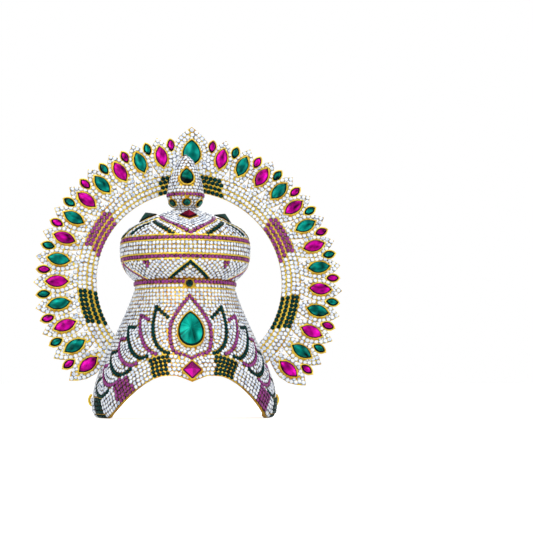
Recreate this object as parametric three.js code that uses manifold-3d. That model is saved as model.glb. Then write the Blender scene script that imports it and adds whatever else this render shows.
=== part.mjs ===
// A jewelled crown for a deity's image: a flared metal cap with ear lappets, a squat bulb and a bud finial
// above it, and behind it a pierced halo of flame petals set with coloured stones.
// Millimetres, +Z up, the front towards -Y; the crown stands on the flat feet of its two lappets.
import * as THREE from "three";
import { mergeVertices } from "three/addons/utils/BufferGeometryUtils.js";
import Module from "manifold-3d";

const wasm = await Module();
wasm.setup();

const GAP = 0.3; // clearance between a piece and what it sits on or in
const BEZEL = 0.7; // wall of the metal rim round a stone

// Bell of the cap: radius swells from the neck to the rim; the lappets curl inwards, most at the toe
const BELL = { neckZ: 92, neckR: 34, rimR: 65, flare: 1.25, wall: 1.2, columns: 72 };
const CURLS = [
  { depth: 4.2, belowZ: 26 },
  { depth: 4.6, belowZ: 6.5 },
];
const COLLAR = { r: 35, topZ: 95 };
const BORDER = { width: 13, relief: 0.7, step: 0.6 };
const BROW_PEAK = { drop: 4, halfAngle: 9 };

// The rim's height round the bell, from the front at 0 degrees to the back at 180
const RIM = [
  { from: 0, to: 16, startZ: 30, endZ: 30 }, // arch over the brow
  { from: 16, to: 66, startZ: 30, endZ: 1.5 }, // sweep down to the lappet
  { from: 66, to: 103, startZ: 1.5, endZ: 1.5 }, // flat foot of the lappet
  { from: 103, to: 148, startZ: 1.5, endZ: 60 }, // rear edge of the lappet
  { from: 148, to: 180, startZ: 60, endZ: 60 }, // arch over the nape
];

// Outer profile of the bulb, from its mouth on the collar up to the flat seat of the finial
const BULB = { wall: 1.1, columns: 40, seatR: 10.5, seatZ: 144.6 };
const BULB_SECTIONS = [
  { z: 95.3, r: 33.6 },
  { z: 100.5, r: 39.2 },
  { z: 107, r: 43.4 },
  { z: 117, r: 44.9 },
  { z: 125, r: 43.7 },
  { z: 131, r: 39.8 },
  { z: 136.7, r: 29.6 },
  { z: 141.4, r: 19.4 },
];

// Outer profile of the finial from foot to tip
const FINIAL = { wall: 1.5, columns: 20, ringR: 12.7, ringLowZ: 154.5 };
const FINIAL_SECTIONS = [
  { z: 144.9, r: 9.6 },
  { z: 147.2, r: 5.8 },
  { z: 149.8, r: 9.2 },
  { z: 154.5, r: 12.7 },
  { z: 157.2, r: 12.7 },
  { z: 158.4, r: 12.1 },
  { z: 163, r: 11.5 },
  { z: 168.4, r: 10.1 },
  { z: 174.3, r: 7.9 },
  { z: 180.2, r: 4.9 },
  { z: 185, r: 0 },
];

// Halo plate: it leans back a little and is fixed slightly to one side and out of square
const HALO = { centreZ: 96.4, shiftX: 3.7, lean: 9, roll: 1.2, thick: 1.6 };
const BAND = { innerR: 65.1, outerR: 78.8, halfSpan: 138, segments: 56 };
const PETALS = { perSide: 13, first: 13.45, pitch: 9.825, stoneR: 92.3 };
const LEAF = { rootV: 76, rootW: 2.2, bellyV: 91.5, bellyW: 8.05, tipV: 107, tipGrowth: 0.16, segments: 3 };
const SPADE = { rootV: 76, rootW: 15.2, bellyV: 92, bellyW: 14.3, tipV: 113.5, segments: 5 };
const NAVETTE = { length: 15.6, width: 7.7, steps: 4, girdle: 1.5, crown: 1.3, table: 0.5 };
const SMALL_NAVETTE = {
  length: 8.4, width: 4.8, steps: 4, girdle: 0.8, crown: 0.7, table: 0.45, rim: 1, r: 99.9, growth: 0.2,
};
const ROOT_STUD = { r: 1.6, centreR: 79.8, sides: 6 };
const HALO_PEAR = { length: 17.6, width: 12.6, steps: 16, girdle: 1.6, crown: 1.6, table: 0.42, v: 94.2 };

// Stones of the cap
const BROW_PEAR = { length: 25, width: 17, steps: 20, girdle: 1.7, crown: 2.1, table: 0.4, z: 60.4 };
const BROW_SQUARE = { side: 8.8, girdle: 1.2, crown: 3, table: 0.24, z: 33.4 };
const BULB_SQUARE = {
  side: 8.4, girdle: 1.1, crown: 3.2, table: 0.2, hold: 0.3, r: 25.6, z: 138.6, pitch: 65,
};
const NECK_ROUND = { diameter: 5, sides: 8, girdle: 0.8, crown: 0.8, table: 0.5, hold: 0.4, z: 92.3 };
const FINIAL_PEAR = {
  length: 11.4, width: 9, steps: 14, girdle: 1, crown: 1.1, table: 0.42, r: 10.2, z: 168, pitch: 19,
};
const FINIAL_ROUND = {
  diameter: 5.4, sides: 8, girdle: 0.8, crown: 0.9, table: 0.5, hold: 0.5, r: 10.1, z: 150.8, pitch: -39,
};
const FINIAL_ROUND_COUNT = 6;

const TIE_LOOP = { azimuth: 92, z: 13.5, wireR: 1.1, halfHeight: 3.4, reach: 2.9 };

const gold = new THREE.MeshStandardMaterial({ color: 0xe0a526, roughness: 0.25, metalness: 1 });
const green = new THREE.MeshStandardMaterial({ color: 0x07786a, roughness: 0.08, metalness: 0.1 });
const magenta = new THREE.MeshStandardMaterial({ color: 0xbe0f91, roughness: 0.08, metalness: 0.1 });

const radians = THREE.MathUtils.degToRad;

// Closed skin through rings of equal length, capped at both ends or joined end to end into a hoop
function skin(rings, hoop = false) {
  const count = rings[0].length;
  const index = [];
  const spans = hoop ? rings.length : rings.length - 1;
  for (let i = 0; i < spans; i++) {
    const near = i * count;
    const far = ((i + 1) % rings.length) * count;
    for (let j = 0; j < count; j++) {
      const k = (j + 1) % count;
      index.push(near + j, near + k, far + k, near + j, far + k, far + j);
    }
  }
  if (!hoop) {
    const top = (rings.length - 1) * count;
    for (let j = 1; j < count - 1; j++) {
      index.push(0, j + 1, j, top, top + j, top + j + 1);
    }
  }
  const geometry = new THREE.BufferGeometry();
  const positions = rings.flat().flatMap((p) => [p.x, p.y, p.z]);
  geometry.setAttribute("position", new THREE.Float32BufferAttribute(positions, 3));
  geometry.setIndex(index);
  return geometry;
}

// Manifold body of a geometry: seams welded, slivers at a lathe's axis dropped
function body(geometry) {
  const bare = new THREE.BufferGeometry();
  bare.setAttribute("position", geometry.getAttribute("position"));
  bare.setIndex(geometry.getIndex());
  const welded = mergeVertices(bare, 1e-5);
  const corners = welded.getIndex().array;
  const triangles = [];
  for (let i = 0; i < corners.length; i += 3) {
    const [a, b, c] = corners.slice(i, i + 3);
    if (a !== b && b !== c && c !== a) {
      triangles.push(a, b, c);
    }
  }
  const vertProperties = new Float32Array(welded.getAttribute("position").array);
  const triVerts = new Uint32Array(triangles);
  return new wasm.Manifold(new wasm.Mesh({ numProp: 3, vertProperties, triVerts }));
}

// Surface of a joined body, its flat faces cleared of the seams between what was joined
function geometryOf(solid) {
  const mesh = solid.asOriginal().simplify(0.002).getMesh();
  const geometry = new THREE.BufferGeometry();
  geometry.setAttribute("position", new THREE.BufferAttribute(mesh.vertProperties, 3));
  geometry.setIndex(new THREE.BufferAttribute(mesh.triVerts, 1));
  return geometry;
}

function piece(name, geometry, material) {
  const mesh = new THREE.Mesh(geometry, material);
  mesh.name = name;
  return mesh;
}

// Flat plate of a shape between two levels
function plate(shape, low, high, curveSegments = 12) {
  const options = { depth: high - low, bevelEnabled: false, curveSegments };
  return new THREE.ExtrudeGeometry(shape, options).translate(0, 0, low);
}

// Outlines of the stones, anticlockwise round their middle, the long axis along Y
function navetteOutline({ length, width, steps }, grow = 0) {
  const half = length / 2 + 1.6 * grow;
  const rise = width / 2 + grow;
  const arcR = (half * half + rise * rise) / (2 * rise);
  const sweep = Math.asin(half / arcR);
  const side = [];
  for (let i = 0; i < steps; i++) {
    const t = sweep * ((2 * i) / steps - 1);
    side.push(new THREE.Vector2(arcR * Math.cos(t) - arcR + rise, arcR * Math.sin(t)));
  }
  return [...side, ...side.map((p) => p.clone().negate())];
}

function pearOutline({ length, width, steps }, grow = 0) {
  const half = length / 2 + 1.2 * grow;
  const swell = (width / 2 + grow) / 0.862;
  const points = [];
  for (let i = 0; i < steps; i++) {
    const t = (2 * Math.PI * i) / steps;
    points.push(new THREE.Vector2(-swell * Math.sin(t) * Math.sqrt(Math.sin(t / 2)), half * Math.cos(t)));
  }
  return points;
}

function squareOutline({ side }, grow = 0) {
  const half = side / 2 + grow;
  const cut = half * 0.82;
  const middle = new THREE.Vector2();
  const points = [];
  for (let i = 0; i < 4; i++) {
    for (const y of [-cut, cut]) {
      points.push(new THREE.Vector2(half, y).rotateAround(middle, (Math.PI / 4) * (2 * i + 1)));
    }
  }
  return points;
}

function roundOutline({ diameter, sides }, grow = 0) {
  const r = diameter / 2 + grow;
  const angles = Array.from({ length: sides }, (_, i) => (2 * Math.PI * i) / sides);
  return angles.map((t) => new THREE.Vector2(r * Math.cos(t), r * Math.sin(t)));
}

// Cut stone on its flat back: upright girdle, one tier of crown facets and a table
function gem(outline, { girdle, crown, table }) {
  const level = (scale, z) => outline.map((p) => new THREE.Vector3(p.x * scale, p.y * scale, z));
  return skin([level(1, 0), level(1, girdle), level(table, girdle + crown)]);
}

// Metal cup for a stone: a floor sunk into the wall and a rim that holds the girdle, or a share of it
function cup(outlineOf, stone, sink, floor) {
  const { girdle, hold = 1 } = stone;
  const lip = floor + GAP + girdle * hold;
  const block = body(plate(new THREE.Shape(outlineOf(stone, GAP + BEZEL)), -sink, lip));
  const recess = body(plate(new THREE.Shape(outlineOf(stone, GAP)), floor, lip + 1));
  return block.subtract(recess);
}

// Frame on a surface of revolution: local Z out along its normal, local Y up along its meridian
function seat(azimuth, r, z, pitch) {
  const out = new THREE.Vector3(Math.sin(azimuth), -Math.cos(azimuth), 0);
  const up = new THREE.Vector3(0, 0, 1);
  const normal = out.clone().multiplyScalar(Math.cos(pitch)).addScaledVector(up, Math.sin(pitch));
  const meridian = up.clone().multiplyScalar(Math.cos(pitch)).addScaledVector(out, -Math.sin(pitch));
  const right = new THREE.Vector3().crossVectors(meridian, normal);
  const place = out.clone().multiplyScalar(r).setZ(z);
  return new THREE.Matrix4().makeBasis(right, meridian, normal).setPosition(place);
}

// Joins a stone's cup to the metal under it and returns the metal with the stone's mesh
function setStone(metal, frame, name, outlineOf, stone, material, { sink, floor }) {
  const setting = cup(outlineOf, stone, sink, floor).transform(frame.elements);
  const mesh = piece(name, gem(outlineOf(stone), stone).translate(0, 0, floor + GAP), material);
  mesh.applyMatrix4(frame);
  return { metal: metal.add(setting), mesh };
}

function bellRadius(z) {
  const t = THREE.MathUtils.clamp(1 - z / BELL.neckZ, 0, 1);
  const swell = (BELL.rimR - BELL.neckR) * Math.sin((Math.PI / 2) * t ** BELL.flare);
  const curls = CURLS.map(({ depth, belowZ }) => depth * Math.max(0, 1 - z / belowZ) ** 2);
  return BELL.neckR + swell - curls[0] - curls[1];
}

function bellPitch(z) {
  return Math.atan(bellRadius(z - 0.5) - bellRadius(z + 0.5));
}

function rimHeight(azimuth) {
  const a = Math.abs(THREE.MathUtils.radToDeg(azimuth));
  const { from, to, startZ, endZ } = RIM.find((row) => a <= row.to + 1e-6);
  const ease = (1 - Math.cos((Math.PI * (a - from)) / (to - from))) / 2;
  const peak = BROW_PEAK.drop * Math.max(0, 1 - a / BROW_PEAK.halfAngle);
  return startZ + (endZ - startZ) * ease - peak;
}

// Height of the border band's upper line; the band keeps its width where the rim runs steeply
function borderHeight(azimuth) {
  const step = radians(1);
  const rise = rimHeight(Math.min(azimuth + step, Math.PI)) - rimHeight(Math.max(azimuth - step, -Math.PI));
  const run = 2 * step * bellRadius(rimHeight(azimuth));
  return rimHeight(azimuth) + BORDER.width * Math.min(Math.hypot(1, rise / run), 1.5);
}

// One upright section of the bell: down the outside from the collar to the rim, then up the inside
function bellSection(azimuth) {
  const rimZ = rimHeight(azimuth);
  const bandZ = borderHeight(azimuth);
  const top = BELL.neckZ - 1;
  const outer = [{ r: COLLAR.r, z: COLLAR.topZ }, { r: COLLAR.r, z: BELL.neckZ }];
  for (const t of [1, 0.75, 0.5, 0.25, 0]) {
    const z = THREE.MathUtils.lerp(bandZ + BORDER.step, top, t);
    outer.push({ r: bellRadius(z), z });
  }
  for (const t of [1, 0.5, 0.2, 0]) {
    const z = THREE.MathUtils.lerp(rimZ, bandZ, t);
    outer.push({ r: bellRadius(z) + BORDER.relief, z });
  }
  const inner = [];
  for (const t of [0, 0.05, 0.15, 0.4, 0.7]) {
    const z = THREE.MathUtils.lerp(rimZ, top, t);
    inner.push({ r: bellRadius(z) - BELL.wall, z });
  }
  inner.push({ r: bellRadius(COLLAR.topZ) - BELL.wall, z: COLLAR.topZ });
  const out = new THREE.Vector2(Math.sin(azimuth), -Math.cos(azimuth));
  return [...outer, ...inner].map(({ r, z }) => new THREE.Vector3(out.x * r, out.y * r, z));
}

function makeBell() {
  const turn = (2 * Math.PI) / BELL.columns;
  const columns = Array.from({ length: BELL.columns }, (_, i) => i * turn - Math.PI);
  let metal = body(skin(columns.map(bellSection), true));
  const meshes = [];
  const add = (name, outlineOf, stone, material, lift, pitch, seating) => {
    const frame = seat(0, bellRadius(stone.z) + lift, stone.z, pitch);
    const set = setStone(metal, frame, name, outlineOf, stone, material, seating);
    metal = set.metal;
    meshes.push(set.mesh);
  };
  const collarLift = COLLAR.r - BELL.neckR;
  add("brow_pear", pearOutline, BROW_PEAR, green, 0, bellPitch(BROW_PEAR.z), { sink: 1, floor: 0.3 });
  add("brow_square", squareOutline, BROW_SQUARE, magenta, BORDER.relief, bellPitch(BROW_SQUARE.z),
    { sink: 1, floor: 0.2 });
  add("neck_round", roundOutline, NECK_ROUND, green, collarLift, 0, { sink: 0.6, floor: 0.1 });
  return [piece("cap_bell", geometryOf(metal), gold), ...meshes];
}

// Shell of revolution about Z: down its inside from the axis to the mouth, then up its outside to the axis
function shell(inner, outer, columns) {
  const profile = [...inner, ...outer].map(({ r, z }) => new THREE.Vector2(r, z));
  return body(new THREE.LatheGeometry(profile, columns).rotateX(Math.PI / 2));
}

function makeBulb() {
  const curve = new THREE.SplineCurve(BULB_SECTIONS.map(({ z, r }) => new THREE.Vector2(r, z)));
  const outer = curve.getPoints(11).map((p) => ({ r: p.x, z: p.y }));
  outer.push({ r: BULB.seatR, z: BULB.seatZ }, { r: 0, z: BULB.seatZ });
  const [mouth, ...upper] = BULB_SECTIONS;
  const inner = [
    { r: 0, z: BULB.seatZ - BULB.wall },
    ...upper.reverse().map(({ z, r }) => ({ r: r - BULB.wall, z: z - BULB.wall / 3 })),
    { r: mouth.r - BULB.wall, z: mouth.z },
  ];
  let metal = shell(inner, outer, BULB.columns);
  const sides = ["front", "right", "back", "left"];
  const meshes = sides.map((side, i) => {
    const frame = seat((i * Math.PI) / 2, BULB_SQUARE.r, BULB_SQUARE.z, radians(BULB_SQUARE.pitch));
    const material = i % 2 === 0 ? magenta : green;
    const set = setStone(metal, frame, `bulb_square_${side}`, squareOutline, BULB_SQUARE, material,
      { sink: 0.6, floor: 0.3 });
    metal = set.metal;
    return set.mesh;
  });
  return [piece("cap_bulb", geometryOf(metal), gold), ...meshes];
}

function makeFinial() {
  const outer = FINIAL_SECTIONS;
  const inside = [
    { z: outer[0].z, r: 3.6 },
    { z: 147.5, r: 3.6 },
    { z: 151.5, r: 8 },
    { z: 157, r: FINIAL.ringR - 1.4 * FINIAL.wall },
    { z: 167, r: 8.2 },
    { z: 174, r: 5 },
    { z: 178.5, r: 0 },
  ];
  let metal = shell([...inside].reverse(), outer, FINIAL.columns);
  const meshes = [];
  const add = (name, outlineOf, stone, azimuth, seating) => {
    const frame = seat(azimuth, stone.r, stone.z, radians(stone.pitch));
    const set = setStone(metal, frame, name, outlineOf, stone, green, seating);
    metal = set.metal;
    meshes.push(set.mesh);
  };
  add("finial_pear", pearOutline, FINIAL_PEAR, 0, { sink: 1.2, floor: 0.2 });
  for (let i = 0; i < FINIAL_ROUND_COUNT; i++) {
    add(`finial_round_${i + 1}`, roundOutline, FINIAL_ROUND, (2 * Math.PI * i) / FINIAL_ROUND_COUNT,
      { sink: 0.7, floor: 0.1 });
  }
  return [piece("finial", geometryOf(metal), gold), ...meshes];
}

// Pointed petal, mirrored about its radial line: narrow root, full belly, drawn-out tip
function petalShape({ rootV, rootW, bellyV, bellyW, tipV }) {
  const rise = tipV - bellyV;
  const flank = [0.9 * bellyW, rootV + 0.52 * (bellyV - rootV)];
  const shoulder = [bellyW, bellyV + 0.49 * rise];
  const throat = [0.45 * bellyW, tipV - 0.22 * rise];
  const shape = new THREE.Shape();
  shape.moveTo(rootW, rootV);
  shape.quadraticCurveTo(...flank, bellyW, bellyV);
  shape.bezierCurveTo(...shoulder, ...throat, 0, tipV);
  shape.bezierCurveTo(-throat[0], throat[1], -shoulder[0], shoulder[1], -bellyW, bellyV);
  shape.quadraticCurveTo(-flank[0], flank[1], -rootW, rootV);
  return shape;
}

function bandShape() {
  const start = Math.PI / 2 - radians(BAND.halfSpan);
  const end = Math.PI / 2 + radians(BAND.halfSpan);
  const shape = new THREE.Shape();
  shape.absarc(0, 0, BAND.outerR, start, end, false);
  shape.absarc(0, 0, BAND.innerR, end, start, true);
  return shape;
}

// Turn about the halo's middle that takes the top to an angle clockwise from it
function turned(angle, v = 0) {
  return new THREE.Matrix4().makeRotationZ(-angle).multiply(new THREE.Matrix4().makeTranslation(0, v, 0));
}

function makeHalo() {
  const halo = new THREE.Group();
  const flat = (shape, segments) => body(plate(shape, -HALO.thick, 0, segments));
  let metal = flat(bandShape(), BAND.segments).add(flat(petalShape(SPADE), SPADE.segments));
  const collet = flat(new THREE.Shape(navetteOutline(SMALL_NAVETTE, SMALL_NAVETTE.rim)));
  const smallStone = body(gem(navetteOutline(SMALL_NAVETTE), SMALL_NAVETTE));
  const smallSet = collet.add(smallStone);
  const stud = flat(new THREE.Shape(roundOutline({ diameter: 2 * ROOT_STUD.r, sides: ROOT_STUD.sides })));
  const sink = 0.5;
  for (const [side, sign] of [["left", -1], ["right", 1]]) {
    for (let k = 0; k < PETALS.perSide; k++) {
      const angle = sign * radians(PETALS.first + PETALS.pitch * k);
      const between = angle - (sign * radians(PETALS.pitch)) / 2;
      const leaf = flat(petalShape({ ...LEAF, tipV: LEAF.tipV + LEAF.tipGrowth * k }), LEAF.segments);
      metal = metal.add(leaf.transform(turned(angle).elements));
      const smallR = SMALL_NAVETTE.r + SMALL_NAVETTE.growth * k;
      metal = metal.add(smallSet.transform(turned(between, smallR).elements));
      metal = metal.add(stud.transform(turned(between, ROOT_STUD.centreR).elements));
      const name = `halo_navette_${side}_${String(k + 1).padStart(2, "0")}`;
      const frame = turned(angle, PETALS.stoneR);
      const material = k % 2 === 0 ? magenta : green;
      const set = setStone(metal, frame, name, navetteOutline, NAVETTE, material, { sink, floor: 0 });
      metal = set.metal;
      halo.add(set.mesh);
    }
  }
  const topFrame = turned(0, HALO_PEAR.v);
  const top = setStone(metal, topFrame, "halo_pear", pearOutline, HALO_PEAR, green, { sink, floor: 0 });
  halo.add(top.mesh);
  const lean = radians(HALO.lean);
  const backY = FINIAL.ringR + GAP / Math.cos(lean) - (FINIAL.ringLowZ - HALO.centreZ) * Math.tan(lean);
  halo.position.set(HALO.shiftX, backY, HALO.centreZ);
  halo.rotation.set(Math.PI / 2 - lean, 0, -radians(HALO.roll));
  halo.updateMatrix();
  halo.add(piece("halo_plate", geometryOf(top.metal.subtract(bellClearance(halo.matrix))), gold));
  return halo;
}

// Full bell grown by the clearance, in the halo's own frame, to cope the halo's feet to the bell's flanks
function bellClearance(haloMatrix) {
  const profile = [new THREE.Vector2(0, 0)];
  for (let z = 0; z <= BELL.neckZ; z += BELL.neckZ / 16) {
    profile.push(new THREE.Vector2(bellRadius(z) + GAP, z));
  }
  profile.push(new THREE.Vector2(0, BELL.neckZ));
  const solid = body(new THREE.LatheGeometry(profile, BELL.columns).rotateX(Math.PI / 2));
  return solid.transform(haloMatrix.clone().invert().elements);
}

// Bent wire staple on the outside of a lappet
function makeTieLoop(name, sign) {
  const { halfHeight, reach, wireR } = TIE_LOOP;
  const path = new THREE.CatmullRomCurve3([
    new THREE.Vector3(0, -halfHeight, BORDER.relief + GAP),
    new THREE.Vector3(0, -halfHeight, 0.55 * reach),
    new THREE.Vector3(0, 0, reach),
    new THREE.Vector3(0, halfHeight, 0.55 * reach),
    new THREE.Vector3(0, halfHeight, BORDER.relief + GAP),
  ]);
  const wire = new THREE.Shape(roundOutline({ diameter: 2 * wireR, sides: 6 }));
  const geometry = new THREE.ExtrudeGeometry(wire, { steps: 10, extrudePath: path, bevelEnabled: false });
  const loop = piece(name, geometry, gold);
  const { azimuth, z } = TIE_LOOP;
  loop.applyMatrix4(seat(sign * radians(azimuth), bellRadius(z), z, bellPitch(z)));
  return loop;
}

const crown = new THREE.Group();
crown.name = "deity_crown";
crown.add(...makeBell(), ...makeBulb(), ...makeFinial(), makeHalo());
crown.add(makeTieLoop("tie_loop_left", -1), makeTieLoop("tie_loop_right", 1));

// Origin under the middle of the whole crown, on the floor
crown.updateMatrixWorld(true);
const extent = new THREE.Box3().setFromObject(crown, true);
crown.position.set(-(extent.min.x + extent.max.x) / 2, -(extent.min.y + extent.max.y) / 2, -extent.min.z);

export default crown;
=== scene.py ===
import math

import bpy
import numpy as np
from mathutils.bvhtree import BVHTree
from mathutils.kdtree import KDTree
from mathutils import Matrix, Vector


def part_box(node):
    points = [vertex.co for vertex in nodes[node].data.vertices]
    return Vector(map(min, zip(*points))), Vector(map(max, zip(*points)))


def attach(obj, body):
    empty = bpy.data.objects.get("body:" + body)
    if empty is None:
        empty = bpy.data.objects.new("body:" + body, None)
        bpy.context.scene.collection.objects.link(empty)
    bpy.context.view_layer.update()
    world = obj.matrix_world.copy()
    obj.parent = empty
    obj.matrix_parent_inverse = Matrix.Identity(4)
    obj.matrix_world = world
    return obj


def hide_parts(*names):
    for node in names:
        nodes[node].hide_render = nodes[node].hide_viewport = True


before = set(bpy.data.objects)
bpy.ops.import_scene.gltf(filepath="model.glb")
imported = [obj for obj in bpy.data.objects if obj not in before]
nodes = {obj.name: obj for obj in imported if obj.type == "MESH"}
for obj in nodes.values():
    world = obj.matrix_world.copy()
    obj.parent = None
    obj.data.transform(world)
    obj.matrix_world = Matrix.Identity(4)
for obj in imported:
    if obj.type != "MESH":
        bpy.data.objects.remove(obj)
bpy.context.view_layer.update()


# Bell of the cap: one flared sheet of brass with ear lappets and a raised border along its rim,
# cut and raised by hand, then gilded and polished. The gilding runs from deep to bright yellow
# and keeps the grain of the polishing.
MM = 0.001
GILT_DEEP, GILT_BRIGHT = (0.60, 0.27, 0.008), (1.0, 0.75, 0.09)
GILT_METALLIC, GILT_SMOOTH, GILT_ROUGH, GRAIN_STRENGTH = 0.8, 0.32, 0.50, 0.5
NOISE_LOW, NOISE_HIGH = 0.3, 0.7  # the part of a noise that colour and polish run over


def shader_group(name, inputs, outputs):
    group = bpy.data.node_groups.new(name, "ShaderNodeTree")
    for label, value in inputs.items():
        socket = group.interface.new_socket(label, in_out="INPUT", socket_type="NodeSocketFloat")
        socket.default_value = value
    for label, kind in outputs.items():
        group.interface.new_socket(label, in_out="OUTPUT", socket_type="NodeSocket" + kind)
    return group, group.nodes.new("NodeGroupInput").outputs, group.nodes.new("NodeGroupOutput")


def feed(tree, node, inputs):
    """Sets a node's inputs: an output of another node is linked, anything else is a constant."""
    for socket, value in inputs.items():
        if isinstance(value, bpy.types.NodeSocket):
            tree.links.new(value, node.inputs[socket])
        else:
            node.inputs[socket].default_value = value


def add_node(tree, kind, inputs=None, **settings):
    made = tree.nodes.new("ShaderNode" + kind)
    for name, value in settings.items():
        setattr(made, name, value)
    feed(tree, made, inputs or {})
    return made


def add_math(tree, operation, *inputs):
    return add_node(tree, "Math", dict(enumerate(inputs)), operation=operation).outputs["Value"]


def colour_ramp(tree, factor, positions, colours):
    ramp = add_node(tree, "ValToRGB", {"Fac": factor})
    elements = ramp.color_ramp.elements
    while len(elements) < len(colours):
        elements.new(0.5)
    for element, position, colour in zip(elements, positions, colours):
        element.position = position
        element.color = (*colour, 1)
    return ramp.outputs["Color"]


def make_gilt_finish():
    group, given, result = shader_group(
        "gilt_finish",
        {"Tone Scale": 60.0, "Painted Light Lift": 0.0, "Grain Scale": 1200.0},
        {"Color": "Color", "Roughness": "Float", "Height": "Float"},
    )
    place = add_node(group, "TexCoord").outputs["Object"]
    tone_noise = {"Vector": place, "Scale": given["Tone Scale"], "Detail": 3.0, "Roughness": 0.6}
    tone = add_node(group, "TexNoise", tone_noise).outputs["Fac"]
    grain_noise = {"Vector": place, "Scale": given["Grain Scale"], "Detail": 2.0}
    grain = add_node(group, "TexNoise", grain_noise).outputs["Fac"]
    # Tone Lift is painted light: it raises or lowers the whole tone of one copy of the gilding
    lifted = add_math(group, "ADD", tone, given["Painted Light Lift"])
    colour = colour_ramp(group, lifted, (NOISE_LOW, NOISE_HIGH), (GILT_DEEP, GILT_BRIGHT))
    polish = {"Value": grain, "From Min": NOISE_LOW, "From Max": NOISE_HIGH}
    polish |= {"To Min": GILT_SMOOTH, "To Max": GILT_ROUGH}
    roughness = add_node(group, "MapRange", polish).outputs["Result"]
    feed(group, result, {"Color": colour, "Roughness": roughness, "Height": grain})
    return group


gilt_finish = make_gilt_finish()


def new_material(name):
    material = bpy.data.materials.new(name)
    material.use_nodes = True
    return material, material.node_tree, material.node_tree.nodes["Principled BSDF"]


def make_gilt(name, tone_scale, painted_light_lift, grain_scale, grain_depth):
    material, tree, shader = new_material(name)
    scales = {"Tone Scale": tone_scale, "Painted Light Lift": painted_light_lift, "Grain Scale": grain_scale}
    finish = add_node(tree, "Group", scales, node_tree=gilt_finish).outputs
    grain = {"Strength": GRAIN_STRENGTH, "Distance": grain_depth, "Height": finish["Height"]}
    normal = add_node(tree, "Bump", grain).outputs["Normal"]
    feed(tree, shader, {"Base Color": finish["Color"], "Roughness": finish["Roughness"]})
    feed(tree, shader, {"Metallic": GILT_METALLIC, "Normal": normal})
    return material


# painted shade: the sheet, seen only between the stones, is given a slightly lower tone
gilt_sheet = make_gilt("gilt_sheet", 150.0, -0.04, 900.0, 0.00008)
nodes["cap_bell"].material_slots[0].material = gilt_sheet

NECK_Z, NECK_R, RIM_R, FLARE = 92, 34, 65, 1.25
LAPPET_CURLS = [(4.2, 26), (4.6, 6.5)]  # depth, and the height below which the sheet turns in
BORDER_WIDTH, BORDER_RELIEF, BORDER_STRETCH = 13, 0.7, 1.5
RIM_AZIMUTH = np.array([0, 16, 66, 103, 148, 180.0])
RIM_Z = np.array([30, 30, 1.5, 1.5, 60, 60.0])
BROW_DROP, BROW_HALF_ANGLE = 4, 9
BULB_MOUTH_Z = 95.3
bulb_low, bulb_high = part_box("cap_bulb")
CAP_AXIS = np.array([*((bulb_low + bulb_high) / 2 / MM).xy, bulb_low.z / MM - BULB_MOUTH_Z])
UP = np.array([0.0, 0.0, 1.0])


def bell_radius(z):
    swell = np.sin(np.pi / 2 * np.clip(1 - z / NECK_Z, 0, 1) ** FLARE)
    curl = sum(depth * np.maximum(0, 1 - z / below) ** 2 for depth, below in LAPPET_CURLS)
    return NECK_R + (RIM_R - NECK_R) * swell - curl


def bell_pitch(z):
    return np.arctan(bell_radius(z - 0.5) - bell_radius(z + 0.5))


def rim_height(azimuth):
    a = np.abs(azimuth)
    i = np.clip(np.searchsorted(RIM_AZIMUTH, a, side="right") - 1, 0, len(RIM_Z) - 2)
    share = (a - RIM_AZIMUTH[i]) / (RIM_AZIMUTH[i + 1] - RIM_AZIMUTH[i])
    ease = (1 - np.cos(np.pi * share)) / 2
    peak = BROW_DROP * np.maximum(0, 1 - a / BROW_HALF_ANGLE)
    return RIM_Z[i] + (RIM_Z[i + 1] - RIM_Z[i]) * ease - peak


def border_height(azimuth):
    """Upper edge of the border, which keeps its width across a sloping rim."""
    rise = rim_height(np.minimum(azimuth + 1, 180)) - rim_height(np.maximum(azimuth - 1, -180))
    run = np.radians(2) * bell_radius(rim_height(azimuth))
    return rim_height(azimuth) + BORDER_WIDTH * np.minimum(np.hypot(1, rise / run), BORDER_STRETCH)


def on_cap(azimuth, z, radius, pitch):
    """Points and normals round the cap's axis; azimuth from the front towards the right."""
    a = np.radians(np.asarray(azimuth, float))
    out = np.stack([np.sin(a), -np.cos(a), np.zeros_like(a)], axis=-1)
    radius, z, pitch = (np.asarray(v, float)[..., None] for v in (radius, z, pitch))
    return CAP_AXIS + out * radius + UP * z, out * np.cos(pitch) + UP * np.sin(pitch)


def on_bell(azimuth, z, lift=0.0):
    return on_cap(azimuth, z, bell_radius(z) + lift, bell_pitch(z))


def on_border(azimuth, z):
    return on_bell(azimuth, z, BORDER_RELIEF)


# Fine round stones of the bell: flat-backed foiled glass, 2.8 mm across, clear, purple and dark
# green, glued side by side in rows on the gilding. Purple draws the shield at the brow, and green
# and purple the lotus petals round it.
CHATON_SIDES = 8
# radius, height and half turns of each ring of corners
CHATON_RINGS = [(0.97, -0.12, 0), (1.0, 0.24, 0), (0.84, 0.44, 1), (0.54, 0.56, 0)]
# share of light on each kind of facet and its swing from one side of the stone to the other
CHATON_LIGHT = {
    "girdle": (0.03, 0.04),
    "crown": (0.41, 0.43),
    "star": (0.84, 0.32),
    "table": (1.0, 0.0),
}
CHATON_TILT = 0.06
CHATON_SPREAD, CHATON_GRADE = 0.19, 0.09  # unlike facets on a stone, unlike stones in a row
dice = np.random.default_rng(5)


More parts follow.
